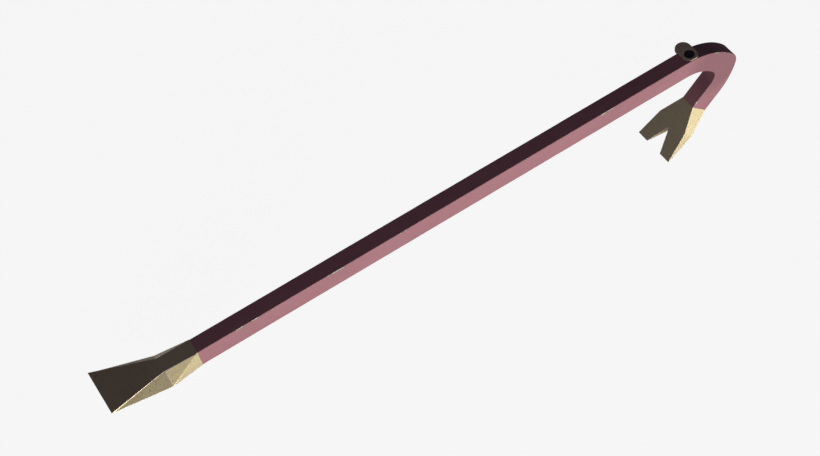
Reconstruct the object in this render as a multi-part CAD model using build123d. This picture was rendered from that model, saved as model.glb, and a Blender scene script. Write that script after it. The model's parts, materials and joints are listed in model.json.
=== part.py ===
"""Gooseneck rescue bar: a painted rectangular shaft, bent over at one end, with a bare steel chisel
pinned into the straight end and a bare steel forked claw pinned into the hook end.

Millimetres. It lies as it rests on a floor: on the heel of the chisel and the two claw tips, with the
bend in the air. +X runs from the chisel to the hook, +Y across the bar, +Z up. The origin is under the
middle of the whole tool, on the floor.
"""
from build123d import *
import math
import os

# ---- the shaft -------------------------------------------------------------------------------------
bar_width = 18.4              # across the bar, Y
bar_depth = 24.0              # face to back of the straight run
straight_length = 595.8       # chisel joint to the start of the bend
edge_radius = 1.0             # the long edges of the forging
hook_turn = 135.0             # degrees, how far the gooseneck turns back
bend_entry_turn = 51.6        # degrees, where the easy first arc of the bend ends
bend_knuckle_turn = 102.0     # degrees, where the tight middle arc ends
bend_inner_radii = (49.5, 11.4, 15.6)     # the three arcs of the inside of the bend
bend_outer_radii = (85.3, 18.0, 75.0)     # and of its back, which is fuller at the knuckle
arm_straight_length = 33.3    # end of the bend to the claw joint, on the inside

# ---- the chisel head -------------------------------------------------------------------------------
neck_length = 36.2            # joint to the root of the blade
blade_length = 62.6           # root of the blade to the cutting edge
blade_root_ridge_width = 17.4
blade_root_sole_width = 42.4
blade_root_ridge_height = 13.3    # above the middle of the bar
blade_root_sole_height = 0.3
cutting_edge_width = 53.4
cutting_edge_height = 24.8        # the blade sweeps up, away from the hook
cutting_edge_thickness = 1.2

# ---- the claw head ---------------------------------------------------------------------------------
claw_length = 64.8            # joint to the tips, along the inner face
claw_shoulder_length = 29.0   # joint to where the flare eases
claw_shoulder_width = 43.4
claw_tip_width = 53.6
claw_tip_thickness = 1.2
notch_depth = 30.5            # from the tips to the root of the V
notch_mouth_width = 22.9
notch_root_radius = 1.2

# ---- the pinned joints of the two heads ------------------------------------------------------------
joint_wall_side = 4.2         # steel left beside a tang
joint_wall_face = 5.0         # steel left above and below a tang
chisel_tang_length = 42.0
claw_tang_length = 25.0
tang_clearance = 0.1
tang_end_gap = 0.5            # so that the shoulder seats, not the end of the tang
pin_diameter = 5.0
pin_clearance = 0.02          # on the radius
pin_cover = 3.0               # steel left over the blind end of a pin
pins_per_head = 2

# ---- the heel plate, its rivets and its badge ------------------------------------------------------
plate_width = 18.0            # along the bar, and the round of both ends
plate_overhang = 10.0         # how far its round end stands out past the far side of the bar
plate_thickness = 3.0
plate_proud = 0.4             # over the straight run's back
plate_lead = 18.8             # how far the plate's edge runs past the start of the bend
badge_diameter = 11.4
badge_thickness = 0.8
badge_rim = 0.9
badge_field_depth = 0.3
rivet_head_diameter = 4.2
rivet_gap = 0.8               # between the heads of neighbouring rivets
rivet_head_height = 1.2
rivet_diameter = 3.0
rivet_length = 9.0
rivet_clearance = 0.02        # on the radius
rivet_count = 2

# ---- places that follow from the sizes, in the bar's own XZ plane, from the chisel joint ----------
half_width = bar_width / 2
half_depth = bar_depth / 2
turn = math.radians(hook_turn)
bend_turns = [0, math.radians(bend_entry_turn), math.radians(bend_knuckle_turn), turn]
arm_run = Vector(math.cos(turn), 0, -math.sin(turn))     # along the arm, towards the claw
arm_out = Vector(math.sin(turn), 0, math.cos(turn))      # from the arm's inner face to its back
across = Vector(0, 1, 0)
same_place = 1e-6             # two points nearer than this are one


def turned(start, radius, turn_from, turn_to):
    """Where an arc of the bend has got to, in the bar's XZ plane."""
    run = math.sin(turn_to) - math.sin(turn_from)
    rise = math.cos(turn_to) - math.cos(turn_from)
    return start + Vector(run, 0, rise) * radius


def bend_arcs(start, radii):
    """The start, middle and end of each arc of one face of the bend."""
    arcs = []
    for radius, turn_from, turn_to in zip(radii, bend_turns, bend_turns[1:]):
        middle = turned(start, radius, turn_from, (turn_from + turn_to) / 2)
        end = turned(start, radius, turn_from, turn_to)
        arcs.append((start, middle, end))
        start = end
    return arcs


outer_bend = bend_arcs(Vector(straight_length, 0, half_depth), bend_outer_radii)
inner_bend = bend_arcs(Vector(straight_length, 0, -half_depth), bend_inner_radii)
outer_bend_end = outer_bend[-1][-1]
inner_bend_end = inner_bend[-1][-1]
arm_inner_end = inner_bend_end + arm_run * arm_straight_length
arm_depth = (outer_bend_end - inner_bend_end).dot(arm_out)
arm_outer_end = arm_inner_end + arm_out * arm_depth

claw_tip = arm_inner_end + arm_run * claw_length + arm_out * claw_tip_thickness
heel = Vector(0, 0, -half_depth)
rest_tilt = math.degrees(math.atan2(heel.Z - claw_tip.Z, claw_tip.X - heel.X))

# A head's joint frame: X runs into the shaft, Z from the middle of the bar to the face that shows.
# The pins go in from the other face, and stop short of this one.
chisel_frame = Plane(origin=(0, 0, 0), x_dir=(1, 0, 0), z_dir=(0, 0, 1))
claw_frame = Plane(origin=arm_inner_end + arm_out * (arm_depth / 2), x_dir=arm_run * -1, z_dir=arm_out * -1)


def profile_prism(points, width):
    """A prism of an outline in the bar's XZ plane, centred across the bar."""
    outline = make_face(Polyline(*points, close=True))
    return extrude(outline, amount=width / 2, both=True)


def nearest_edge(solid, point):
    return min(solid.edges(), key=lambda edge: (edge.center() - point).length)


def box_in(frame, x_from, x_to, width, depth):
    """A box in a head's joint frame, centred on the middle of the bar."""
    length = x_to - x_from
    return frame * Pos(x_from + length / 2, 0, 0) * Box(length, width, depth)


def tang(frame, length, head_depth):
    return box_in(frame, 0, length, bar_width - 2 * joint_wall_side, head_depth - 2 * joint_wall_face)


def socket(frame, length, head_depth):
    width = bar_width - 2 * joint_wall_side + 2 * tang_clearance
    depth = head_depth - 2 * joint_wall_face + 2 * tang_clearance
    return box_in(frame, 0, length + tang_end_gap, width, depth)


def pin_rods(frame, length, head_depth, radius):
    """The rods of one head's pins: in from the hidden face, blind under the face that shows."""
    rod_length = head_depth - pin_cover
    pitch = length / pins_per_head
    rods = []
    for number in range(pins_per_head):
        along = pitch * (number + 0.5)
        rod = Cylinder(radius, rod_length, align=(Align.CENTER, Align.CENTER, Align.MIN))
        rods.append(frame * Pos(along, 0, -head_depth / 2) * rod)
    return rods


def facet_solid(facets):
    """A closed solid from flat facets, each given by its corners."""
    return Solid(Shell([Face(Wire.make_polygon(corners)) for corners in facets]))


def make_shaft():
    start_top = Vector(0, 0, half_depth)
    start_low = Vector(0, 0, -half_depth)
    outline = [
        Line(start_top, outer_bend[0][0]),
        *[ThreePointArc(*arc) for arc in outer_bend],
        Line(outer_bend_end, arm_outer_end),
        Line(arm_outer_end, arm_inner_end),
        Line(arm_inner_end, inner_bend_end),
        *[ThreePointArc(*arc) for arc in inner_bend],
        Line(inner_bend[0][0], start_low),
        Line(start_low, start_top),
    ]
    shaft = extrude(make_face(outline), amount=bar_width / 2, dir=(0, 1, 0), both=True)
    ends = [Vector(0, 0, 0), (arm_inner_end + arm_outer_end) * 0.5]
    long_edges = []
    for edge in shaft.edges():
        middle = edge.center()
        in_side = abs(abs(middle.Y) - half_width) < same_place
        at_end = any((Vector(middle.X, 0, middle.Z) - end).length < same_place for end in ends)
        if in_side and not at_end:
            long_edges.append(edge)
    return fillet(long_edges, edge_radius)


def make_chisel_head():
    """A forged neck and blade in flat facets: a narrow ridge on top, a wide sole below."""
    root_x = -neck_length
    edge_x = root_x - blade_length
    ridge_y = blade_root_ridge_width / 2
    sole_y = blade_root_sole_width / 2
    edge_y = cutting_edge_width / 2
    edge_low = cutting_edge_height - cutting_edge_thickness

    def corners(side):
        return {
            "joint_top": (0, side * half_width, half_depth),
            "joint_low": (0, side * half_width, -half_depth),
            "ridge": (root_x, side * ridge_y, blade_root_ridge_height),
            "sole": (root_x, side * sole_y, blade_root_sole_height),
            "edge_top": (edge_x, side * edge_y, cutting_edge_height),
            "edge_low": (edge_x, side * edge_y, edge_low),
        }

    near, far = corners(-1), corners(1)
    bands = [("joint_top", "ridge"), ("ridge", "edge_top"), ("edge_top", "edge_low"),
             ("edge_low", "sole"), ("sole", "joint_low"), ("joint_low", "joint_top")]
    facets = [[near[a], near[b], far[b], far[a]] for a, b in bands]
    cheeks = [("joint_top", "joint_low", "sole"), ("joint_top", "sole", "ridge"),
              ("ridge", "sole", "edge_low"), ("ridge", "edge_low", "edge_top")]
    for side in (near, far):
        facets += [[side[name] for name in cheek] for cheek in cheeks]
    head = facet_solid(facets)
    return head + tang(chisel_frame, chisel_tang_length, bar_depth)


def make_claw_head():
    """A wedge that thins to the tips, flared in two steps, with a V notch between two tines."""
    def on_face(along, side, out=0):
        return arm_inner_end + arm_run * along + across * side + arm_out * out

    wedge_profile = [on_face(0, 0), on_face(0, 0, arm_depth),
                     on_face(claw_length, 0, claw_tip_thickness), on_face(claw_length, 0)]
    wedge = profile_prism(wedge_profile, claw_tip_width)
    flare = [on_face(0, half_width), on_face(claw_shoulder_length, claw_shoulder_width / 2),
             on_face(claw_length, claw_tip_width / 2)]
    mirrored = [Vector(point.X, -point.Y, point.Z) for point in reversed(flare)]
    outline = make_face(Polyline(*flare, *mirrored, close=True))
    through = 2 * arm_depth       # each way, so that it passes both faces of the wedge
    head = wedge & extrude(outline, amount=through, dir=arm_out, both=True)

    slope = notch_mouth_width / 2 / notch_depth
    overrun = notch_depth
    notch_points = [on_face(claw_length - notch_depth, 0),
                    on_face(claw_length + overrun, slope * (notch_depth + overrun)),
                    on_face(claw_length + overrun, -slope * (notch_depth + overrun))]
    notch = extrude(make_face(Polyline(*notch_points, close=True)), amount=through, dir=arm_out, both=True)
    notch = fillet(nearest_edge(notch, notch_points[0]), notch_root_radius)
    head -= notch
    return head + tang(claw_frame, claw_tang_length, arm_depth)


# ---- the heel plate stack: an obround plate let into the back of the bar, held by rivets under a badge
plate_x = straight_length + plate_lead - plate_width / 2
plate_top = half_depth + plate_proud
plate_bottom = plate_top - plate_thickness
badge_floor = plate_top - badge_thickness
rivet_pitch = rivet_head_diameter + rivet_gap


def plate_blank(height, z_bottom):
    """The plate's outline: round at the far end, round but trimmed to the bar's flat at the near end."""
    radius = plate_width / 2
    far_y = half_width + plate_overhang - radius
    near_limit = half_width - edge_radius
    body = Pos(0, far_y / 2, 0) * Box(plate_width, far_y, height)
    body += Cylinder(radius, height)
    body += Pos(0, far_y, 0) * Cylinder(radius, height)
    trim_depth = radius
    body -= Pos(0, -near_limit - trim_depth / 2, 0) * Box(2 * plate_width, trim_depth, 2 * height)
    return Pos(plate_x, 0, z_bottom + height / 2) * body


def rivet_bodies(clearance):
    bodies = []
    for number in range(rivet_count):
        y = rivet_pitch * (number - (rivet_count - 1) / 2)
        align = (Align.CENTER, Align.CENTER, Align.MAX)
        shank = Cylinder(rivet_diameter / 2 + clearance, rivet_length, align=align)
        head = Cone(rivet_diameter / 2 + clearance, rivet_head_diameter / 2 + clearance,
                    rivet_head_height, align=align)
        bodies.append(Pos(plate_x, y, badge_floor) * (shank + head))
    return bodies


def make_badge():
    """A plain round badge: a raised rim round a sunk field, with nothing written on it."""
    disc = Cylinder(badge_diameter / 2, badge_thickness)
    field = Cylinder(badge_diameter / 2 - badge_rim, badge_field_depth)
    disc -= Pos(0, 0, (badge_thickness - badge_field_depth) / 2) * field
    return Pos(plate_x, 0, badge_floor + badge_thickness / 2) * disc


def build_nodes():
    nodes = {}
    shaft = make_shaft()
    heads = {"chisel": (make_chisel_head(), chisel_frame, chisel_tang_length, bar_depth),
             "claw": (make_claw_head(), claw_frame, claw_tang_length, arm_depth)}
    for name, (head, frame, length, depth) in heads.items():
        shaft -= socket(frame, length, depth)
        for hole in pin_rods(frame, length, depth, pin_diameter / 2 + pin_clearance):
            shaft -= hole
            head -= hole
        nodes[name + "_head"] = head
        for number, rod in enumerate(pin_rods(frame, length, depth, pin_diameter / 2), start=1):
            nodes[f"{name}_pin_{number}"] = rod

    plate = plate_blank(plate_thickness, plate_bottom)
    shaft -= plate_blank(plate_thickness, plate_bottom)
    badge_seat = Cylinder(badge_diameter / 2, badge_thickness, align=(Align.CENTER, Align.CENTER, Align.MIN))
    plate -= Pos(plate_x, 0, badge_floor) * badge_seat
    for hole in rivet_bodies(rivet_clearance):
        plate -= hole
        shaft -= hole
    for number, rivet in enumerate(rivet_bodies(0), start=1):
        nodes[f"plate_rivet_{number}"] = rivet
    nodes["heel_plate"] = plate
    nodes["badge"] = make_badge()
    nodes["shaft"] = shaft
    return nodes


def to_rest(nodes):
    """Tips the tool onto its heel and claw tips, over the origin."""
    tilted = {name: Rot(0, -rest_tilt, 0) * piece for name, piece in nodes.items()}
    box = Compound(children=[Part() + piece for piece in tilted.values()]).bounding_box()
    middle = box.center()
    shift = Pos(-middle.X, -middle.Y, -box.min.Z)
    return {name: shift * piece for name, piece in tilted.items()}, shift


os.makedirs("parts", exist_ok=True)
rest_nodes, rest_shift = to_rest(build_nodes())
for name, piece in sorted(rest_nodes.items()):
    export_step(piece, f"parts/{name}.step")
print("tilt at rest, degrees:", round(rest_tilt, 3))
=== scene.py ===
# %% [markdown]
# # A gooseneck rescue bar, built as a lesson
# The tool is a bar of forged steel, painted maroon, with a chisel pinned into one end and a forked claw
# pinned into the hooked end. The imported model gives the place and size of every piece. This script makes
# the pieces that show again as fine meshes with rounded edges, and gives each one a finish.

# %% Load the frame
import json
import math
import bmesh
import bpy
from mathutils import Matrix, Vector, noise


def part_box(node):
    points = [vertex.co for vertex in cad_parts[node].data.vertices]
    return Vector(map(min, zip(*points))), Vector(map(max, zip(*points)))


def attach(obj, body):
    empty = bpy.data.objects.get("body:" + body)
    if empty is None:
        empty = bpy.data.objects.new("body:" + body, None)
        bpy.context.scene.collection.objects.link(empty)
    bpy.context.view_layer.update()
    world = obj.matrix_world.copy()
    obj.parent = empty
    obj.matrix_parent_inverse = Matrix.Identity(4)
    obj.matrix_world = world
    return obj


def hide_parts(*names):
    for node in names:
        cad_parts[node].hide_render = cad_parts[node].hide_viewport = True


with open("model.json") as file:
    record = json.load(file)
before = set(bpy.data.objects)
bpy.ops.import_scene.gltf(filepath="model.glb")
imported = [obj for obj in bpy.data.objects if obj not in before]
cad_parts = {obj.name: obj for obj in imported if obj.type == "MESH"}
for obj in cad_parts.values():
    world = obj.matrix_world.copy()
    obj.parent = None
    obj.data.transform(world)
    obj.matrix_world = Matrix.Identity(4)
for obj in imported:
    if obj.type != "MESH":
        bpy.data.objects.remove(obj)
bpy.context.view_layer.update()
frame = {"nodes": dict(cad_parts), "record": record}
print("pieces in the frame:", ", ".join(sorted(frame["nodes"])))

# %% [markdown]
# ## The bar's own axes
# The tool rests tilted, on the low edge of the chisel's joint and on the claw's tips. It is easier to think
# along the bar, so this step finds the bar's own axes from the flat faces that the record names: x runs
# from the chisel joint to the hook, y goes across, and z goes from the middle of the bar to its back. The
# places of those faces give the bar's width and depth too. The record doesn't give the length of the
# straight run, so it is repeated here, as the other sizes are where each is first needed.

# %% Find the bar in the row frame
MM = 0.001
mounts = {mount["name"]: mount for mount in frame["record"]["mounts"]}
side = Vector(mounts["side_face_near"]["pos_m"])
back = Vector(mounts["back_face"]["pos_m"])
BAR_UP = Vector(mounts["back_face"]["axis"]).normalized()
ACROSS = Vector((0, 1, 0))
BAR_RUN = ACROSS.cross(BAR_UP)
bar_middle = Vector((side.x, 0, side.z))
BAR_WIDTH = -2 * side.y / MM
BAR_DEPTH = 2 * (back - bar_middle).length / MM
STRAIGHT = 595.8
print(f"bar {BAR_WIDTH:.1f} x {BAR_DEPTH:.1f} mm, tilted {math.degrees(math.asin(BAR_RUN.z)):.2f} degrees")


def place(point):
    """A point in the bar's own axes, in mm, to the row frame in metres."""
    x, y, z = point
    along = (x - STRAIGHT / 2) * MM
    return bar_middle + BAR_RUN * along + ACROSS * (y * MM) + BAR_UP * (z * MM)


# %% [markdown]
# ## From points to pieces
# Each piece is made in the bar's own axes, in millimetres, and goes to the row frame at the very end. It
# could be typed in Blender's edit mode, but a list of corners and faces says the same thing and can be
# read. Modifiers, such as a bevel, are applied at once, so that what is measured is what shows.

# %% A new piece
def new_piece(name, vertices, faces):
    mesh = bpy.data.meshes.new(name)
    mesh.from_pydata([tuple(vertex) for vertex in vertices], [], faces)
    mesh.validate()
    piece = bpy.data.objects.new(name, mesh)
    bpy.context.scene.collection.objects.link(piece)
    edit = bmesh.new()
    edit.from_mesh(mesh)
    bmesh.ops.recalc_face_normals(edit, faces=edit.faces)
    edit.to_mesh(mesh)
    edit.free()
    return piece


def apply_modifier(piece, kind, **settings):
    modifier = piece.modifiers.new(kind.lower(), kind)
    for setting, value in settings.items():
        setattr(modifier, setting, value)
    depsgraph = bpy.context.evaluated_depsgraph_get()
    mesh = bpy.data.meshes.new_from_object(piece.evaluated_get(depsgraph))
    piece.modifiers.clear()
    piece.data = mesh


# %% [markdown]
# Where two pieces meet in a joint, the rim of the joint face stays a sharp line. Everywhere else the
# shading is smooth, and weighted by area, so that a large flat face looks flat right up to its rounded
# edge. The last helper also ties the piece to the frame: what it rides on, which node it stands for and
# which finish it takes.

# %% Finish a piece
JOINT_FIT = 1e-3    # mm: a point nearer than this to the joint's plane lies in it


def sharpen_joint(piece, origin, normal):
    """Marks the rim of a joint face sharp, so that the shading doesn't round it."""
    mesh = piece.data
    for edge in mesh.edges:
        ends = [mesh.vertices[number].co for number in edge.vertices]
        if all(abs((end - origin).dot(normal)) < JOINT_FIT for end in ends):
            edge.use_edge_sharp = True


def finish_piece(piece, node, material):
    """Puts the piece in the row frame in place of its CAD node, with smooth shading kept flat on flats."""
    for vertex in piece.data.vertices:
        vertex.co = place(vertex.co)
    piece.data.polygons.foreach_set("use_smooth", [True] * len(piece.data.polygons))
    apply_modifier(piece, "WEIGHTED_NORMAL", weight=100, keep_sharp=True)
    piece.data.materials.clear()
    piece.data.materials.append(material)
    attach(piece, "root")
    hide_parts(node)
    low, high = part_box(node)
    points = [vertex.co for vertex in piece.data.vertices]
    sizes = [max(p[axis] for p in points) - min(p[axis] for p in points) for axis in range(3)]
    cad_sizes = [high[axis] - low[axis] for axis in range(3)]
    told = ", ".join(f"{size / MM:.1f} (CAD {cad / MM:.1f})" for size, cad in zip(sizes, cad_sizes))
    print(f"{piece.name}: {len(points)} points, {told} mm")


# %% [markdown]
# ## One way to write a material
# A node material is a short recipe. One function adds a node with its settings and its links, and one
# turns a hex colour, as a colour picker shows it, into the linear light that the shader works with.

# %% Helpers for materials
def linear(hex_colour):
    channels = [int(hex_colour[i:i + 2], 16) / 255 for i in (1, 3, 5)]
    return tuple(c / 12.92 if c <= 0.04045 else ((c + 0.055) / 1.055) ** 2.4 for c in channels) + (1.0,)


def add(tree, kind, sockets=None, **settings):
    """Adds a node, applies its settings, fills or links its inputs, and gives back its first output."""
    node = tree.nodes.new("ShaderNode" + kind)
    for setting, value in settings.items():
        setattr(node, setting, value)
    for key, value in (sockets or {}).items():
        named = [socket for socket in node.inputs if socket.enabled and socket.name == key]
        socket = named[0] if named else node.inputs[key]
        if isinstance(value, bpy.types.NodeSocket):
            tree.links.new(value, socket)
        else:
            socket.default_value = value
    return next((socket for socket in node.outputs if socket.enabled), None)


# %% [markdown]
# The patterns are drawn in the bar's own axes and in millimetres, so that a size in a recipe is a size that
# can be measured on the tool. Almost every mark on worn metal is a cloud of some size, stretched along the
# way that a hand, a grinder or a wall moved over it, so one cloud serves for all of them.

# %% A new material and its patterns
def new_material(name):
    """An empty material, its node tree, its shader, and coordinates in millimetres along the bar."""
    material = bpy.data.materials.new(name)
    material.use_nodes = True
    tree = material.node_tree
    tree.nodes.clear()
    surface = add(tree, "BsdfPrincipled")
    add(tree, "OutputMaterial", {"Surface": surface})
    in_frame = add(tree, "TexCoord").node.outputs["Object"]
    tilt = math.asin(BAR_RUN.z)
    along_bar = add(tree, "VectorRotate", {"Vector": in_frame, "Angle": tilt}, rotation_type="Y_AXIS")
    in_mm = add(tree, "VectorMath", {0: along_bar, 1: (1 / MM,) * 3}, operation="MULTIPLY")
    return material, tree, surface.node, in_mm


def cloud(tree, in_mm, size, stretch=(1, 1, 1), detail=3.0, roughness=0.55, low=0.35, high=0.65):
    """A cloudy pattern from 0 to 1, with features about size millimetres across before the stretch."""
    scale = tuple(1 / (size * factor) for factor in stretch)
    scaled = add(tree, "VectorMath", {0: in_mm, 1: scale}, operation="MULTIPLY")
    noisy = add(tree, "TexNoise", {"Vector": scaled, "Scale": 1.0, "Detail": detail,
                                   "Roughness": roughness})
    return add(tree, "MapRange", {"Value": noisy, "From Min": low, "From Max": high})


COLOUR = {"data_type": "RGBA"}
TIMES = {"operation": "MULTIPLY"}

# %% [markdown]
# ## Maroon enamel on forged steel
# The bar is sprayed with a thick alkyd enamel and baked. Enamel is a plastic film, so it is not metallic
# and its IOR is about 1.5. A rescue tool is stored dirty and handled with gloves, so the gloss has gone to
# satin and the maroon is dusty: the eye gets a soft, even colour with no mirror in it. The film has a fine
# orange peel of about 1 mm, drawn at 3 mm so that it shows, and under it the forging still shows as a
# faint unevenness. Sliding in and out of a locker has left light scuffs along the bar, and the edges are
# chipped to bare steel in short ragged runs.

# %% Maroon enamel
def maroon_enamel():
    material, tree, shader, in_mm = new_material("maroon_alkyd_enamel_baked")
    faded = cloud(tree, in_mm, 70, stretch=(2.5, 1, 1))
    mottled = cloud(tree, in_mm, 9, detail=5)
    film = add(tree, "Mix", {"Factor": faded, "A": linear("#976368"), "B": linear("#A16C71")}, **COLOUR)
    dull = add(tree, "Math", {0: mottled, 1: 0.35}, **TIMES)
    film = add(tree, "Mix", {"Factor": dull, "A": film, "B": linear("#8F5C61")}, **COLOUR)

    # Painted shade: the enamel darkens towards the bend's middle, standing for the shade that falls on the
    # bend's turning faces.
    from_bend = add(tree, "VectorMath", {0: in_mm, 1: tuple(BEND_MIDDLE)}, operation="DISTANCE").node
    # This mask is painted shade round the bend, not a real change in the enamel.
    painted_bend_shade = add(tree, "MapRange", {"Value": from_bend.outputs["Value"], "From Min": 52.0, "From Max": 28.0,
                                   "To Max": 0.55}, interpolation_type="SMOOTHSTEP")
    film = add(tree, "Mix", {"Factor": painted_bend_shade, "A": film, "B": linear("#74494E")}, **COLOUR)

    scratches = cloud(tree, in_mm, 1.1, stretch=(28, 1, 1), detail=4, low=0.62, high=0.74)
    handled = cloud(tree, in_mm, 45, low=0.45, high=0.62)
    scuffed = add(tree, "Math", {0: scratches, 1: handled}, **TIMES)
    pale = add(tree, "Math", {0: scuffed, 1: 0.35}, **TIMES)
    film = add(tree, "Mix", {"Factor": pale, "A": film, "B": linear("#B39496")}, **COLOUR)

    near_edge = add(tree, "Attribute", attribute_name="edge").node.outputs["Fac"]
    ragged = cloud(tree, in_mm, 1.8, stretch=(2.0, 1, 1), detail=6, roughness=0.7, low=0.30, high=0.70)
    knocked = cloud(tree, in_mm, 19, stretch=(1.4, 1, 1), detail=2, low=0.46, high=0.76)
    reach = add(tree, "Math", {0: near_edge, 1: knocked}, **TIMES)
    ragged = add(tree, "MapRange", {"Value": ragged, "To Min": 0.5, "To Max": 1.3})
    reach = add(tree, "Math", {0: reach, 1: ragged}, **TIMES)
    chipped = add(tree, "MapRange", {"Value": reach, "From Min": 0.52, "From Max": 0.58})
    chip_rim = add(tree, "MapRange", {"Value": reach, "From Min": 0.42, "From Max": 0.52, "To Max": 0.5})
    film = add(tree, "Mix", {"Factor": chip_rim, "A": film, "B": linear("#54383B")}, **COLOUR)
    colour = add(tree, "Mix", {"Factor": chipped, "A": film, "B": linear("#9A9082")}, **COLOUR)
    tree.links.new(colour, shader.inputs["Base Color"])
    tree.links.new(chipped, shader.inputs["Metallic"])

    satin = add(tree, "MapRange", {"Value": mottled, "To Min": 0.46, "To Max": 0.58})
    rubbed = add(tree, "Math", {0: scuffed, 1: 0.15}, **TIMES)
    tree.links.new(add(tree, "Math", {0: satin, 1: rubbed}), shader.inputs["Roughness"])
    shader.inputs["IOR"].default_value = 1.5

    forged = cloud(tree, in_mm, 14, detail=2, low=0.2, high=0.8)
    peel = cloud(tree, in_mm, 3, detail=2, low=0.2, high=0.8)
    film_height = add(tree, "Math", {0: 1.0, 1: chipped}, operation="SUBTRACT")
    relief = add(tree, "Bump", {"Height": forged, "Distance": 0.25 * MM, "Strength": 0.35})
    relief = add(tree, "Bump", {"Height": peel, "Distance": 0.05 * MM, "Strength": 0.3, "Normal": relief})
    relief = add(tree, "Bump", {"Height": film_height, "Distance": 0.15 * MM, "Strength": 0.8,
                                "Normal": relief})
    tree.links.new(relief, shader.inputs["Normal"])
    return material


# The bend's middle in the bar's own axes, and then in the material's coordinates: the row frame turned
# level with the bar, in mm.
BEND_ON_BAR = (640, 0, -22)
BEND_MIDDLE = Matrix.Rotation(math.asin(BAR_RUN.z), 3, "Y") @ (place(BEND_ON_BAR) / MM)
ENAMEL = maroon_enamel()
print("made", ENAMEL.name)

# %% [markdown]
# ## Ground tool steel, tempered to straw
# Both heads are medium-carbon tool steel, such as C45. They are ground after forging and then tempered at
# about 220 degrees, which leaves an oxide film of a pale straw colour. It is a metal, so metallic is 1 and
# the base colour is the colour of the reflection: the eye sees cream where it mirrors a light, and brown
# black where it mirrors none. Grinding across the piece leaves fine parallel lines, some 0.3 mm apart,
# drawn at 0.6 mm so that they show. Edges are burnished brighter by use, and a few dark specks of forging
# scale stay in the low spots.

# %% Straw-tempered steel
def straw_steel():
    material, tree, shader, in_mm = new_material("tool_steel_ground_straw_tempered")
    heated = cloud(tree, in_mm, 40)
    steel = add(tree, "Mix", {"Factor": heated, "A": linear("#DACBA0"), "B": linear("#D2C197")}, **COLOUR)
    lines = cloud(tree, in_mm, 0.6, stretch=(1, 60, 1), detail=3, low=0.3, high=0.7)
    grooves = add(tree, "Math", {0: lines, 1: 0.25}, **TIMES)
    steel = add(tree, "Mix", {"Factor": grooves, "A": steel, "B": linear("#9A8D69")}, **COLOUR)
    specks = cloud(tree, in_mm, 2.2, detail=5, roughness=0.7, low=0.60, high=0.66)
    low_spots = cloud(tree, in_mm, 30, low=0.45, high=0.60)
    scaled = add(tree, "Math", {0: specks, 1: low_spots}, **TIMES)
    scale_cover = add(tree, "Math", {0: scaled, 1: 0.7}, **TIMES)
    steel = add(tree, "Mix", {"Factor": scale_cover, "A": steel, "B": linear("#4B4438")}, **COLOUR)
    near_edge = add(tree, "Attribute", attribute_name="edge").node.outputs["Fac"]
    burnished = add(tree, "MapRange", {"Value": near_edge, "From Min": 0.45, "From Max": 0.95,
                                       "To Max": 0.5})
    colour = add(tree, "Mix", {"Factor": burnished, "A": steel, "B": linear("#E4DBC6")}, **COLOUR)
    tree.links.new(colour, shader.inputs["Base Color"])
    shader.inputs["Metallic"].default_value = 1.0

    ground = add(tree, "MapRange", {"Value": lines, "To Min": 0.46, "To Max": 0.58})
    polished = add(tree, "Math", {0: burnished, 1: 0.1}, **TIMES)
    gloss = add(tree, "Math", {0: ground, 1: polished}, operation="SUBTRACT")
    tree.links.new(gloss, shader.inputs["Roughness"])

    forged = cloud(tree, in_mm, 12, detail=2)
    steel_height = add(tree, "Math", {0: 1.0, 1: scaled}, operation="SUBTRACT")
    relief = add(tree, "Bump", {"Height": forged, "Distance": 0.15 * MM, "Strength": 0.3})
    relief = add(tree, "Bump", {"Height": lines, "Distance": 0.03 * MM, "Strength": 0.25, "Normal": relief})
    relief = add(tree, "Bump", {"Height": steel_height, "Distance": 0.05 * MM, "Strength": 0.4,
                                "Normal": relief})
    tree.links.new(relief, shader.inputs["Normal"])
    return material


STRAW_STEEL = straw_steel()
print("made", STRAW_STEEL.name)

# %% [markdown]
# ## Oil-blackened plate
# The heel plate is mild steel, heated and quenched in oil. That leaves a thin brown-black oxide: still a
# metal, but a dull one, so it stays nearly metallic, with a warm base and a broad soft shine, and the eye
# takes its darkness from the dim room that it mirrors. The oxide is thin on the edges, where the steel
# shows through.

# %% Blackened steel
def blackened_steel():
    material, tree, shader, in_mm = new_material("mild_steel_oil_blackened")
    stained = cloud(tree, in_mm, 8, detail=5)
    steel = add(tree, "Mix", {"Factor": stained, "A": linear("#DAC6A2"), "B": linear("#C8B490")}, **COLOUR)
    near_edge = add(tree, "Attribute", attribute_name="edge").node.outputs["Fac"]
    patchy = cloud(tree, in_mm, 3, detail=5, low=0.3, high=0.7)
    worn = add(tree, "Math", {0: near_edge, 1: patchy}, **TIMES)
    colour = add(tree, "Mix", {"Factor": worn, "A": steel, "B": linear("#D6C9B0")}, **COLOUR)
    tree.links.new(colour, shader.inputs["Base Color"])
    shader.inputs["Metallic"].default_value = 0.85
    tree.links.new(add(tree, "MapRange", {"Value": stained, "To Min": 0.55, "To Max": 0.65}),
                   shader.inputs["Roughness"])
    grain = cloud(tree, in_mm, 1.6)
    tree.links.new(add(tree, "Bump", {"Height": grain, "Distance": 0.03 * MM, "Strength": 0.4}),
                   shader.inputs["Normal"])
    return material


PLATE_STEEL = blackened_steel()
print("made", PLATE_STEEL.name)

# %% [markdown]
# ## Enamelled badge and drawn pins
# The badge is fired with black vitreous enamel, a glass, so it is glossy, not metallic, and its IOR is
# about 1.52: the eye gets a deep black with a small clear shine. Pins and rivets are drawn steel rod, cut
# off and filed flush, so they are plain grey metal. The file leaves marks across their ends about 0.5 mm
# apart.

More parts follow.
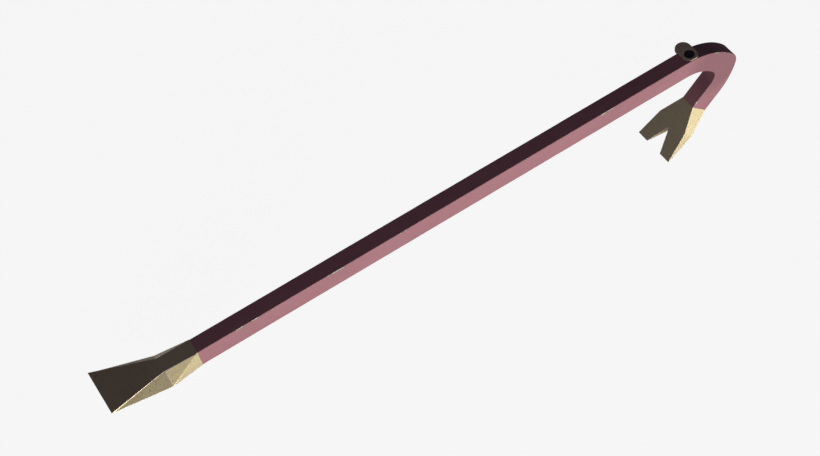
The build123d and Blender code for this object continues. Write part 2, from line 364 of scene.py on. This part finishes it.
# %% Vitreous enamel and drawn steel
def black_enamel():
    material, tree, shader, in_mm = new_material("vitreous_enamel_black")
    fired = cloud(tree, in_mm, 3, detail=4)
    colour = add(tree, "Mix", {"Factor": fired, "A": linear("#0B0A0A"), "B": linear("#171515")}, **COLOUR)
    tree.links.new(colour, shader.inputs["Base Color"])
    tree.links.new(add(tree, "MapRange", {"Value": fired, "To Min": 0.18, "To Max": 0.3}),
                   shader.inputs["Roughness"])
    shader.inputs["IOR"].default_value = 1.52
    tree.links.new(add(tree, "Bump", {"Height": fired, "Distance": 0.02 * MM, "Strength": 0.3}),
                   shader.inputs["Normal"])
    return material


def drawn_steel():
    material, tree, shader, in_mm = new_material("drawn_steel_filed_flush")
    marks = cloud(tree, in_mm, 0.5, stretch=(1, 12, 12))
    colour = add(tree, "Mix", {"Factor": marks, "A": linear("#A7A199"), "B": linear("#8A847B")}, **COLOUR)
    tree.links.new(colour, shader.inputs["Base Color"])
    shader.inputs["Metallic"].default_value = 1.0
    tree.links.new(add(tree, "MapRange", {"Value": marks, "To Min": 0.32, "To Max": 0.46}),
                   shader.inputs["Roughness"])
    tree.links.new(add(tree, "Bump", {"Height": marks, "Distance": 0.02 * MM, "Strength": 0.4}),
                   shader.inputs["Normal"])
    return material


BADGE_ENAMEL = black_enamel()
PIN_STEEL = drawn_steel()
print("made", BADGE_ENAMEL.name, "and", PIN_STEEL.name)

# %% [markdown]
# ## The shaft
# The real shaft is one rectangular bar, heated and bent round a former into the gooseneck. A sweep is the
# same thing in mesh terms: one rounded rectangle, repeated at stations along the bar. The sections are
# given by two outlines, the inside and the outside of the bend, because a forged bend swells at the crown
# where the former squeezes it. Each outline is a straight run, three arcs, of which the middle one is
# the tight knuckle, and a straight arm. A curve with a bevel would be quicker, but it would keep the same
# depth all the way.

# %% The two outlines of the bend
TURNS = [math.radians(angle) for angle in (0, 51.6, 102, 135)]
INNER_RADII = (49.5, 11.4, 15.6)
OUTER_RADII = (85.3, 18.0, 75.0)
ARM_STRAIGHT = 33.3
EDGE_RADIUS = 1.0
ARM_RUN = Vector((math.cos(TURNS[-1]), 0, -math.sin(TURNS[-1])))
ARM_OUT = Vector((math.sin(TURNS[-1]), 0, math.cos(TURNS[-1])))
ARM = len(TURNS)


def outline_point(height, radii, stage, share):
    """A point a share of the way through stage 0, the straight run, or stages 1 to 3, the bend's arcs."""
    if stage == 0:
        return Vector((STRAIGHT * share, 0, height))
    point = Vector((STRAIGHT, 0, height))
    for number in range(1, stage + 1):
        start = TURNS[number - 1]
        end = TURNS[number] if number < stage else start + (TURNS[number] - start) * share
        run, rise = math.sin(end) - math.sin(start), math.cos(end) - math.cos(start)
        point += Vector((run, 0, rise)) * radii[number - 1]
    return point


INNER_BEND_END = outline_point(-BAR_DEPTH / 2, INNER_RADII, ARM - 1, 1)
OUTER_BEND_END = outline_point(BAR_DEPTH / 2, OUTER_RADII, ARM - 1, 1)
ARM_END = INNER_BEND_END + ARM_RUN * ARM_STRAIGHT
ARM_DEPTH = (OUTER_BEND_END - INNER_BEND_END).dot(ARM_OUT)


def section_ends(stage, share):
    """Where a section starts on the inner face and ends on the back. The arm's faces run straight."""
    if stage < ARM:
        return (outline_point(-BAR_DEPTH / 2, INNER_RADII, stage, share),
                outline_point(BAR_DEPTH / 2, OUTER_RADII, stage, share))
    arm_outer_end = ARM_END + ARM_OUT * ARM_DEPTH
    return INNER_BEND_END.lerp(ARM_END, share), OUTER_BEND_END.lerp(arm_outer_end, share)


print(f"arm {ARM_DEPTH:.1f} mm deep, joint at x {ARM_END.x:.1f}, z {ARM_END.z:.1f}")

# %% [markdown]
# The section is a rectangle with rounded corners. Each of its points carries a value that says how near it
# is to an edge: the chips in the enamel read it, because paint is knocked off edges first.

# %% The rounded section
NARROW_CELL = 1.2    # mm: the width of the cell of a flat face that is next to a corner


def rounded_section(width, depth, radius, flat_cells=5, corner_cells=4):
    """Points round a rectangle from (0, 0) at the middle of its inner face, each with its edge value."""
    half = width / 2
    corners = [(half, 0, -90), (half, depth, 0), (-half, depth, 90), (-half, 0, 180)]
    points = []
    for number, (y, z, from_angle) in enumerate(corners):
        centre_y = y - math.copysign(radius, y)
        centre_z = z + radius if z == 0 else z - radius
        for step in range(corner_cells + 1):
            angle = math.radians(from_angle + 90 * step / corner_cells)
            points.append((centre_y + radius * math.cos(angle), centre_z + radius * math.sin(angle), 1.0))
        next_y, next_z, _ = corners[(number + 1) % 4]
        last = points[-1]
        run_y = (next_y - y) - math.copysign(2 * radius, next_y - y) if next_y != y else 0
        run_z = (next_z - z) - math.copysign(2 * radius, next_z - z) if next_z != z else 0
        length = abs(run_y) + abs(run_z)
        # The first and last cells are narrow, so that the wear on the edge doesn't spread over the flat.
        narrow = NARROW_CELL / length
        shares = [narrow] + [narrow + (1 - 2 * narrow) * k / flat_cells for k in range(1, flat_cells)]
        shares.append(1 - narrow)
        for k, share in enumerate(shares):
            value = 0.5 if k in (0, len(shares) - 1) else 0.0
            points.append((last[0] + run_y * share, last[1] + run_z * share, value))
    return points


section = rounded_section(BAR_WIDTH, BAR_DEPTH, EDGE_RADIUS)
print(f"{len(section)} points round a section")

# %% [markdown]
# Now the sweep itself. The stations are close together in the bend, where the outline turns, and sparse
# along the straight run. Every point sinks a little, and unevenly, towards the middle of the bar, so that
# the faces have the slow waves of a hammered forging and no point stands outside the nominal size.

# %% The sweep
CELLS = (150, 30, 24, 20, 12)    # stations in the straight run, the three arcs and the arm
FORGED_WAVE, FORGED_DEPTH = 16, 0.18


def unevenness(point, size, depth):
    """How far a forged surface lies under its nominal face, in mm, between 0 and depth."""
    return depth * 0.5 * (1 + noise.noise(point / size))


def sweep_shaft():
    stations = [(stage, step / count) for stage, count in enumerate(CELLS) for step in range(count)]
    stations.append((ARM, 1))
    vertices, values, ring_size = [], [], 0
    for stage, share in stations:
        inner, outer = section_ends(stage, share)
        depth = (outer - inner).length
        out = (outer - inner).normalized()
        section = rounded_section(BAR_WIDTH, depth, EDGE_RADIUS)
        ring_size = len(section)
        middle = inner + out * (depth / 2)
        for y, z, value in section:
            point = inner + out * z + ACROSS * y
            sink = unevenness(point, FORGED_WAVE, FORGED_DEPTH)
            point += (middle - point).normalized() * sink
            vertices.append(point)
            values.append(value)
    faces = []
    for ring in range(len(stations) - 1):
        for k in range(ring_size):
            a = ring * ring_size + k
            b = ring * ring_size + (k + 1) % ring_size
            faces.append((a, b, b + ring_size, a + ring_size))
    last = (len(stations) - 1) * ring_size
    faces.append(tuple(range(ring_size)))
    faces.append(tuple(range(last + ring_size - 1, last - 1, -1)))
    shaft = new_piece("forged_shaft", vertices, faces)
    layer = shaft.data.attributes.new("edge", "FLOAT", "POINT")
    layer.data.foreach_set("value", values)
    return shaft


ALONG, UP = Vector((1, 0, 0)), Vector((0, 0, 1))
CHISEL_JOINT = Vector((0, 0, 0))
forged_shaft = sweep_shaft()
sharpen_joint(forged_shaft, CHISEL_JOINT, ALONG)
sharpen_joint(forged_shaft, ARM_END, ARM_RUN)
finish_piece(forged_shaft, "shaft", ENAMEL)

# %% [markdown]
# ## The chisel
# A smith draws the end of a bar out into a blade: the top keeps a narrow ridge, the sole spreads wide, and
# the cheeks between them are hammered and ground flat. So the chisel is a few flat facets between three
# sections: the joint, the root of the blade and the cutting edge. It is made from its corners, because
# every facet is flat and a few points say it all.

# %% Chisel
NECK = 36.2
BLADE = 62.6
RIDGE_WIDTH, RIDGE_HEIGHT = 17.4, 13.3
SOLE_WIDTH, SOLE_HEIGHT = 42.4, 0.3
CUTTING_WIDTH, CUTTING_HEIGHT, CUTTING_THICKNESS = 53.4, 24.8, 1.2


def chisel_mesh():
    half_width, half_depth = BAR_WIDTH / 2, BAR_DEPTH / 2
    edge_low = CUTTING_HEIGHT - CUTTING_THICKNESS
    tip = -NECK - BLADE
    rows = [(0, half_width, half_depth), (0, half_width, -half_depth),
            (-NECK, RIDGE_WIDTH / 2, RIDGE_HEIGHT), (-NECK, SOLE_WIDTH / 2, SOLE_HEIGHT),
            (tip, CUTTING_WIDTH / 2, CUTTING_HEIGHT), (tip, CUTTING_WIDTH / 2, edge_low)]
    near = [Vector((x, -y, z)) for x, y, z in rows]
    far = [Vector((x, y, z)) for x, y, z in rows]
    joint_top, joint_low, ridge, sole, cut_top, cut_low = range(6)
    bands = [(joint_top, ridge), (ridge, cut_top), (cut_top, cut_low), (cut_low, sole),
             (sole, joint_low), (joint_low, joint_top)]
    cheeks = [(joint_top, joint_low, sole), (joint_top, sole, ridge), (ridge, sole, cut_low),
              (ridge, cut_low, cut_top)]
    count = len(rows)
    faces = [(a, b, b + count, a + count) for a, b in bands]
    faces += cheeks + [tuple(corner + count for corner in cheek) for cheek in cheeks]
    chisel = new_piece("chisel_blade", near + far, faces)
    lines = []
    for points in (near, far):
        pairs = [(joint_top, ridge), (ridge, cut_top), (joint_low, sole), (sole, cut_low), (ridge, sole)]
        lines += [(points[a], points[b]) for a, b in pairs]
    lines += [(near[cut_top], far[cut_top]), (near[cut_low], far[cut_low])]
    return chisel, lines


chisel_blade, chisel_lines = chisel_mesh()
print(f"{len(chisel_blade.data.polygons)} facets, {NECK + BLADE:.1f} mm long")

# %% [markdown]
# A ground head has edges that are rounded by a hair and faces that aren't quite flat. First a bevel rounds
# each edge but those of the joint. Then the faces are sliced into small cells, which leaves the shape as
# it is but gives the points that the next two steps need: one stores how near each point is to an edge,
# for the burnishing, and one sinks the points unevenly. A displacement from a texture could do the last
# step too, but a few lines of noise keep it in millimetres.

# %% Round, slice, mark and roughen
HEAD_BEVEL, HEAD_CELL, HEAD_WORN = 0.45, 2.2, 2.6
HEAD_WAVE, HEAD_DEPTH, EASE_IN = 9, 0.12, 4


def bevel_long_edges(piece, joint_origin, joint_normal, width):
    """Rounds every edge but those of the joint face, which meets the shaft."""
    mesh = piece.data
    weights = mesh.attributes.new("bevel_weight_edge", "FLOAT", "EDGE")
    for edge in mesh.edges:
        ends = [mesh.vertices[k].co for k in edge.vertices]
        in_joint = all(abs((end - joint_origin).dot(joint_normal)) < JOINT_FIT for end in ends)
        weights.data[edge.index].value = 0.0 if in_joint else 1.0
    apply_modifier(piece, "BEVEL", width=width, segments=3, limit_method="WEIGHT", use_clamp_overlap=True,
                   miter_outer="MITER_ARC")


def roughen(piece, size, depth, keep_origin, keep_normal):
    """Sinks the surface a little and unevenly, easing in over a few mm from the joint face."""
    normals = [vertex.normal.copy() for vertex in piece.data.vertices]
    for vertex, normal in zip(piece.data.vertices, normals):
        from_joint = abs((vertex.co - keep_origin).dot(keep_normal))
        ease = min(1.0, from_joint / EASE_IN)
        vertex.co -= normal * (unevenness(vertex.co, size, depth) * ease)


def slice_cells(piece, cell, axes):
    """Cuts the faces on planes a cell apart along each axis, which leaves the shape as it is."""
    edit = bmesh.new()
    edit.from_mesh(piece.data)
    for axis in axes:
        places = [vertex.co.dot(axis) for vertex in edit.verts]
        low, high = min(places), max(places)
        count = int((high - low) / cell)
        for number in range(1, count + 1):
            at = low + (high - low) * number / (count + 1)
            geometry = edit.verts[:] + edit.edges[:] + edit.faces[:]
            bmesh.ops.bisect_plane(edit, geom=geometry, plane_co=axis * at, plane_no=axis, dist=1e-5)
    edit.to_mesh(piece.data)
    edit.free()


def distance_to_line(point, start, end):
    run = end - start
    share = max(0.0, min(1.0, (point - start).dot(run) / run.length_squared))
    return (point - start - run * share).length


def mark_edges(piece, lines, reach):
    """Stores at each point 1 on a worn edge, falling to 0 at reach millimetres from it."""
    values = []
    for vertex in piece.data.vertices:
        nearest = min(distance_to_line(vertex.co, start, end) for start, end in lines)
        values.append(max(0.0, 1.0 - nearest / reach))
    layer = piece.data.attributes.new("edge", "FLOAT", "POINT")
    layer.data.foreach_set("value", values)


def dress_head(head, lines, joint, normal, axes):
    """What a head gets after its corners are made, from the bevel to the sharp rim of its joint."""
    bevel_long_edges(head, joint, normal, HEAD_BEVEL)
    slice_cells(head, HEAD_CELL, axes)
    mark_edges(head, lines, HEAD_WORN)
    roughen(head, HEAD_WAVE, HEAD_DEPTH, joint, normal)
    sharpen_joint(head, joint, normal)


dress_head(chisel_blade, chisel_lines, CHISEL_JOINT, ALONG, (ALONG, ACROSS, UP))
finish_piece(chisel_blade, "chisel_head", STRAW_STEEL)

# %% [markdown]
# ## The claw
# The claw is a wedge: as thick as the arm at the joint, down to a thin edge at the two tips, and wider in
# two steps. The V between the tines grips a nail or a hasp. One outline, seen square to the inner face,
# gives every point of the front, and the back is the same outline moved out by the wedge's thickness.

# %% Claw
CLAW = 64.8
SHOULDER, SHOULDER_WIDTH = 29.0, 43.4
TIP_WIDTH, TIP_THICKNESS = 53.6, 1.2
NOTCH_DEPTH, NOTCH_MOUTH, NOTCH_ROOT = 30.5, 22.9, 1.2
ROOT_STEPS = 4    # each side of the middle of the notch's root


def claw_outline():
    """(along, across) points round the claw, from the joint round one tine, the notch and the other."""
    half_angle = math.atan(NOTCH_MOUTH / 2 / NOTCH_DEPTH)
    root = CLAW - NOTCH_DEPTH
    centre = root + NOTCH_ROOT / math.sin(half_angle)
    arc = []
    for step in range(-ROOT_STEPS, ROOT_STEPS + 1):
        angle = (math.pi / 2 - half_angle) * step / ROOT_STEPS
        arc.append((centre - NOTCH_ROOT * math.cos(angle), -NOTCH_ROOT * math.sin(angle)))
    half = [(0, BAR_WIDTH / 2), (SHOULDER, SHOULDER_WIDTH / 2), (CLAW, TIP_WIDTH / 2),
            (CLAW, NOTCH_MOUTH / 2)]
    return half + arc + [(along, -across) for along, across in reversed(half)]


def claw_mesh():
    outline = claw_outline()
    front, back = [], []
    for along, across in outline:
        thick = ARM_DEPTH + (TIP_THICKNESS - ARM_DEPTH) * along / CLAW
        point = ARM_END + ARM_RUN * along + ACROSS * across
        front.append(point)
        back.append(point + ARM_OUT * thick)
    count = len(outline)
    faces = [(k, (k + 1) % count, (k + 1) % count + count, k + count) for k in range(count)]
    faces += [tuple(range(count)), tuple(range(count, 2 * count))]
    claw = new_piece("claw_fork", front + back, faces)
    lines = [(row[k], row[k + 1]) for row in (front, back) for k in range(count - 1)]
    corners = (2, 3, count - 4, count - 3)    # the outer and inner corner of each tip
    lines += [(front[k], back[k]) for k in corners]
    return claw, lines


claw_fork, claw_lines = claw_mesh()
dress_head(claw_fork, claw_lines, ARM_END, ARM_RUN, (ARM_RUN, ACROSS, ARM_OUT))
finish_piece(claw_fork, "claw_head", STRAW_STEEL)

# %% [markdown]
# ## The heel plate and its badge
# A short plate is let into the back of the bar just before the bend, with a badge in it. The badge is a
# turned part: a profile spun round its axis. Blender's screw modifier does that too, but here a loop makes
# the rings, because the same few lines also make the cutter for the badge's seat.

# %% A turned piece
PLATE_WIDTH, PLATE_OVERHANG = 18.0, 10.0
PLATE_THICKNESS, PLATE_PROUD, PLATE_LEAD = 3.0, 0.4, 18.8
BADGE_DIAMETER, BADGE_THICKNESS = 11.4, 0.8
plate_x = STRAIGHT + PLATE_LEAD - PLATE_WIDTH / 2
plate_top = BAR_DEPTH / 2 + PLATE_PROUD


def turned_piece(name, profile, steps=64):
    """A piece spun round the badge's axis from (radius, height over the plate's top) points."""
    vertices, faces, rings = [], [], []
    for radius, height in profile:
        if radius == 0:
            rings.append([len(vertices)])
            vertices.append(Vector((plate_x, 0, plate_top + height)))
            continue
        rings.append(list(range(len(vertices), len(vertices) + steps)))
        for step in range(steps):
            angle = 2 * math.pi * step / steps
            vertices.append(Vector((plate_x + radius * math.cos(angle), radius * math.sin(angle),
                                    plate_top + height)))
    for lower, upper in zip(rings, rings[1:]):
        for step in range(steps):
            following = (step + 1) % steps
            corners = [lower[step % len(lower)], lower[following % len(lower)],
                       upper[following % len(upper)], upper[step % len(upper)]]
            faces.append(tuple(dict.fromkeys(corners)))
    return new_piece(name, vertices, faces)


print(f"the badge's axis is {plate_x:.1f} mm from the chisel joint")

# %% [markdown]
# The plate's far end is round and stands out past the side of the bar. Its near end is round too, but
# trimmed to the flat of the bar. So it is an outline of arcs with a thickness, a small bevel and a seat cut
# by a boolean.

# %% Heel plate
ROUND_STEPS, TRIM_STEPS = 32, 12
PLATE_BEVEL, PLATE_CELL, PLATE_WORN = 0.25, 1.2, 0.8
CORNER_TURN = math.radians(50)    # an edge that turns by more than this is rounded


def plate_mesh():
    radius = PLATE_WIDTH / 2
    far_y = BAR_WIDTH / 2 + PLATE_OVERHANG - radius
    near_y = -(BAR_WIDTH / 2 - EDGE_RADIUS)
    trim = math.asin(near_y / radius)
    outline = []
    for step in range(ROUND_STEPS + 1):
        angle = math.pi * step / ROUND_STEPS
        outline.append((radius * math.cos(angle), far_y + radius * math.sin(angle)))
    for start in (math.pi, trim):
        for step in range(TRIM_STEPS + 1):
            angle = start - trim * step / TRIM_STEPS
            outline.append((radius * math.cos(angle), radius * math.sin(angle)))
    seat = BADGE_DIAMETER / 2
    rings = []
    for height in (plate_top, plate_top - PLATE_THICKNESS):
        rings.append([Vector((plate_x + x, y, height)) for x, y in outline])
    count = len(outline)
    vertices = rings[0] + rings[1]
    faces = [(k, (k + 1) % count, (k + 1) % count + count, k + count) for k in range(count)]
    faces += [tuple(range(count)), tuple(range(2 * count - 1, count - 1, -1))]
    plate = new_piece("heel_plate_obround", vertices, faces)
    seat_profile = [(0, -BADGE_THICKNESS), (seat, -BADGE_THICKNESS), (seat, 1), (0, 1)]
    cutter = turned_piece("badge_seat", seat_profile)
    apply_modifier(plate, "BOOLEAN", operation="DIFFERENCE", object=cutter, solver="EXACT")
    bpy.data.objects.remove(cutter)
    top = rings[0]
    return plate, [(top[k], top[(k + 1) % count]) for k in range(count)]


heel_plate, plate_lines = plate_mesh()
apply_modifier(heel_plate, "BEVEL", width=PLATE_BEVEL, segments=3, limit_method="ANGLE",
               angle_limit=CORNER_TURN)
slice_cells(heel_plate, PLATE_CELL, (ALONG, ACROSS))
mark_edges(heel_plate, plate_lines, PLATE_WORN)
finish_piece(heel_plate, "heel_plate", PLATE_STEEL)

# %% [markdown]
# A badge is stamped from sheet, filled with enamel and fired. The stamp leaves a rim, a sunk field and, in
# this one, a single plain ring: a mark with nothing written on it. The corners of the profile are cut by a
# tenth of a millimetre, since fired glass never has a sharp edge.

# %% Badge
RIM, FIELD_DEPTH = 0.9, 0.3
RING_OUT, RING_IN = 2.9, 2.1
SOFT, DRAFT = 0.12, 0.1    # the cut corner, and the lean of the field's walls


def badge_mesh():
    radius = BADGE_DIAMETER / 2
    field = radius - RIM
    profile = [(0, -BADGE_THICKNESS), (radius, -BADGE_THICKNESS), (radius, -SOFT), (radius - SOFT, 0),
               (field + SOFT, 0), (field, -SOFT), (field - DRAFT, -FIELD_DEPTH),
               (RING_OUT + DRAFT, -FIELD_DEPTH), (RING_OUT, -SOFT), (RING_OUT - SOFT, -SOFT / 2),
               (RING_IN + SOFT, -SOFT / 2), (RING_IN, -SOFT), (RING_IN - DRAFT, -FIELD_DEPTH),
               (0, -FIELD_DEPTH)]
    return turned_piece("badge_disc", profile)


badge_disc = badge_mesh()
finish_piece(badge_disc, "badge", BADGE_ENAMEL)

# %% [markdown]
# ## Pins and rivets
# The pins and rivets are simple turned parts and their CAD shape is right, so they stay as they are and
# only get their finish. Of the pins only the ends show, flush with the underside of the bar and the back
# of the arm. The rivets are hidden under the badge.

# %% Pins and rivets
for name, node in sorted(frame["nodes"].items()):
    if "pin_" in name or "rivet" in name:
        node.data.materials.clear()
        node.data.materials.append(PIN_STEEL)
        print("finished", name)

# %% [markdown]
# ## The floor and the light
# The tool lies on a pale light table that curves up into a low wall all round, so there is no hard horizon:
# in low views the curve is only a faint, lighter band. The table glows evenly, as opal acrylic with lamps
# behind it does. It is only a backdrop: it takes no part in lighting the tool and takes no shadow from it,
# so that each light can be set by itself.

# %% Backdrop
TABLE_GLOW = 0.99


def studio_table(flat=5.0, curve=1.0, wall=2.0, steps=96, curve_steps=8):
    """A round table that curves up into a wall, in metres."""
    profile = [(0, 0), (flat, 0)]
    for step in range(1, curve_steps + 1):
        angle = math.pi / 2 * step / curve_steps
        profile.append((flat + curve * math.sin(angle), curve - curve * math.cos(angle)))
    profile.append((flat + curve, wall))
    vertices = [Vector((0, 0, 0))]
    for radius, height in profile[1:]:
        for step in range(steps):
            angle = 2 * math.pi * step / steps
            vertices.append(Vector((radius * math.cos(angle), radius * math.sin(angle), height)))
    faces = [(0, 1 + step, 1 + (step + 1) % steps) for step in range(steps)]
    for ring in range(len(profile) - 2):
        for step in range(steps):
            a = 1 + ring * steps + step
            b = 1 + ring * steps + (step + 1) % steps
            faces.append((a, a + steps, b + steps, b))
    mesh = bpy.data.meshes.new("studio_table")
    mesh.from_pydata([tuple(vertex) for vertex in vertices], [], faces)
    mesh.polygons.foreach_set("use_smooth", [True] * len(faces))
    table = bpy.data.objects.new("studio_table", mesh)
    bpy.context.scene.collection.objects.link(table)
    material = bpy.data.materials.new("opal_acrylic_lit_from_below")
    material.use_nodes = True
    shader = material.node_tree.nodes["Principled BSDF"]
    shader.inputs["Base Color"].default_value = linear("#505050")
    shader.inputs["Roughness"].default_value = 1.0
    shader.inputs["Specular IOR Level"].default_value = 0.0
    shader.inputs["Emission Color"].default_value = linear("#F6F6F6")
    shader.inputs["Emission Strength"].default_value = TABLE_GLOW
    table.data.materials.append(material)
    table.visible_diffuse = False
    table.visible_glossy = False
    table.visible_shadow = False
    print(f"table {2 * flat:.0f} m across, with a wall {wall:.0f} m high")


studio_table()

# %% [markdown]
# The light comes from soft boxes, as in a studio. The two large ones on the near side stand at about the
# tool's own height or lower, so they fill the near faces and only skim the top ones, which gives the bar
# its light sides and dark back. A light below the table's level comes up through it. A small one on the
# right lights the claw's flank, a weak one far below opens up the notch, and a cool, weak one on the far
# side keeps that side readable.

# %% Soft boxes
TOOL_MIDDLE = Vector((0, 0, 0.07))


def soft_box(name, azimuth, elevation, width, height, power, colour="#FFFFFF", distance=2.4):
    """An area light aimed at the middle of the tool. Azimuth 0 is the near side, -Y, and 90 is +X."""
    data = bpy.data.lights.new(name, "AREA")
    data.shape = "RECTANGLE"
    data.size, data.size_y = width, height
    data.energy = power
    data.color = linear(colour)[:3]
    light = bpy.data.objects.new(name, data)
    bpy.context.scene.collection.objects.link(light)
    turn, rise = math.radians(azimuth), math.radians(elevation)
    away = Vector((math.sin(turn) * math.cos(rise), -math.cos(turn) * math.cos(rise), math.sin(rise)))
    light.location = TOOL_MIDDLE + away * distance
    light.rotation_euler = (-away).to_track_quat("-Z", "Y").to_euler()
    light.visible_camera = False
    print(f"{name}: {power} W at azimuth {azimuth}, elevation {elevation}")


soft_box("near_low_soft_box", 8, -20, 2.4, 0.8, 52)
soft_box("near_left_soft_box", -25, 5, 2.0, 0.5, 20)
soft_box("near_right_soft_box", 53, -11, 1.0, 0.6, 10)
soft_box("under_soft_box", 60, -70, 1.5, 1.5, 3)
soft_box("far_soft_box", 195, -5, 2.4, 0.6, 9, "#E3E9FF")

# %% [markdown]
# The room is dim and slightly violet. The top faces mirror little else, so it sets how dark the steel and
# the enamel look from above. The view transform is the plain one, so that no tone curve shifts the colours.

# %% Air
AIR_GLOW = 0.082
world = bpy.data.worlds.new("studio_air")
world.use_nodes = True
background = world.node_tree.nodes["Background"]
background.inputs["Color"].default_value = linear("#E1D7FF")
background.inputs["Strength"].default_value = AIR_GLOW
bpy.context.scene.world = world
bpy.context.scene.view_settings.view_transform = "Standard"
print(f"{world.name} glows at {AIR_GLOW}")

# %% [markdown]
# ## The camera
# The camera stands on the near side, towards the chisel, and looks down at about 50 degrees, so the tool
# crosses the picture from corner to corner and both ends show two faces. It is placed by the way it looks,
# how far off it is and the point it aims at, which are easier to judge than a position. The small roll is
# how a hand-held camera leans.

# %% Camera
AZIMUTH, ELEVATION, ROLL = 36.54, 49.79, 5.11
DISTANCE = 1.515
AIM = Vector((-0.0347, 0, 0.0546))
camera_data = bpy.data.cameras.new("camera")
camera_data.lens = 65.48
camera_data.sensor_width = 36
camera = bpy.data.objects.new("camera", camera_data)
bpy.context.scene.collection.objects.link(camera)
turn, rise = math.radians(AZIMUTH), math.radians(ELEVATION)
looking = Vector((math.sin(turn) * math.cos(rise), math.cos(turn) * math.cos(rise), -math.sin(rise)))
stand = Matrix.Translation(AIM - looking * DISTANCE)
level = looking.to_track_quat("-Z", "Y").to_matrix().to_4x4()
lean = Matrix.Rotation(math.radians(ROLL), 4, "Z")
camera.matrix_world = stand @ level @ lean
bpy.context.scene.camera = camera
print("camera", [round(value, 3) for value in camera.location])
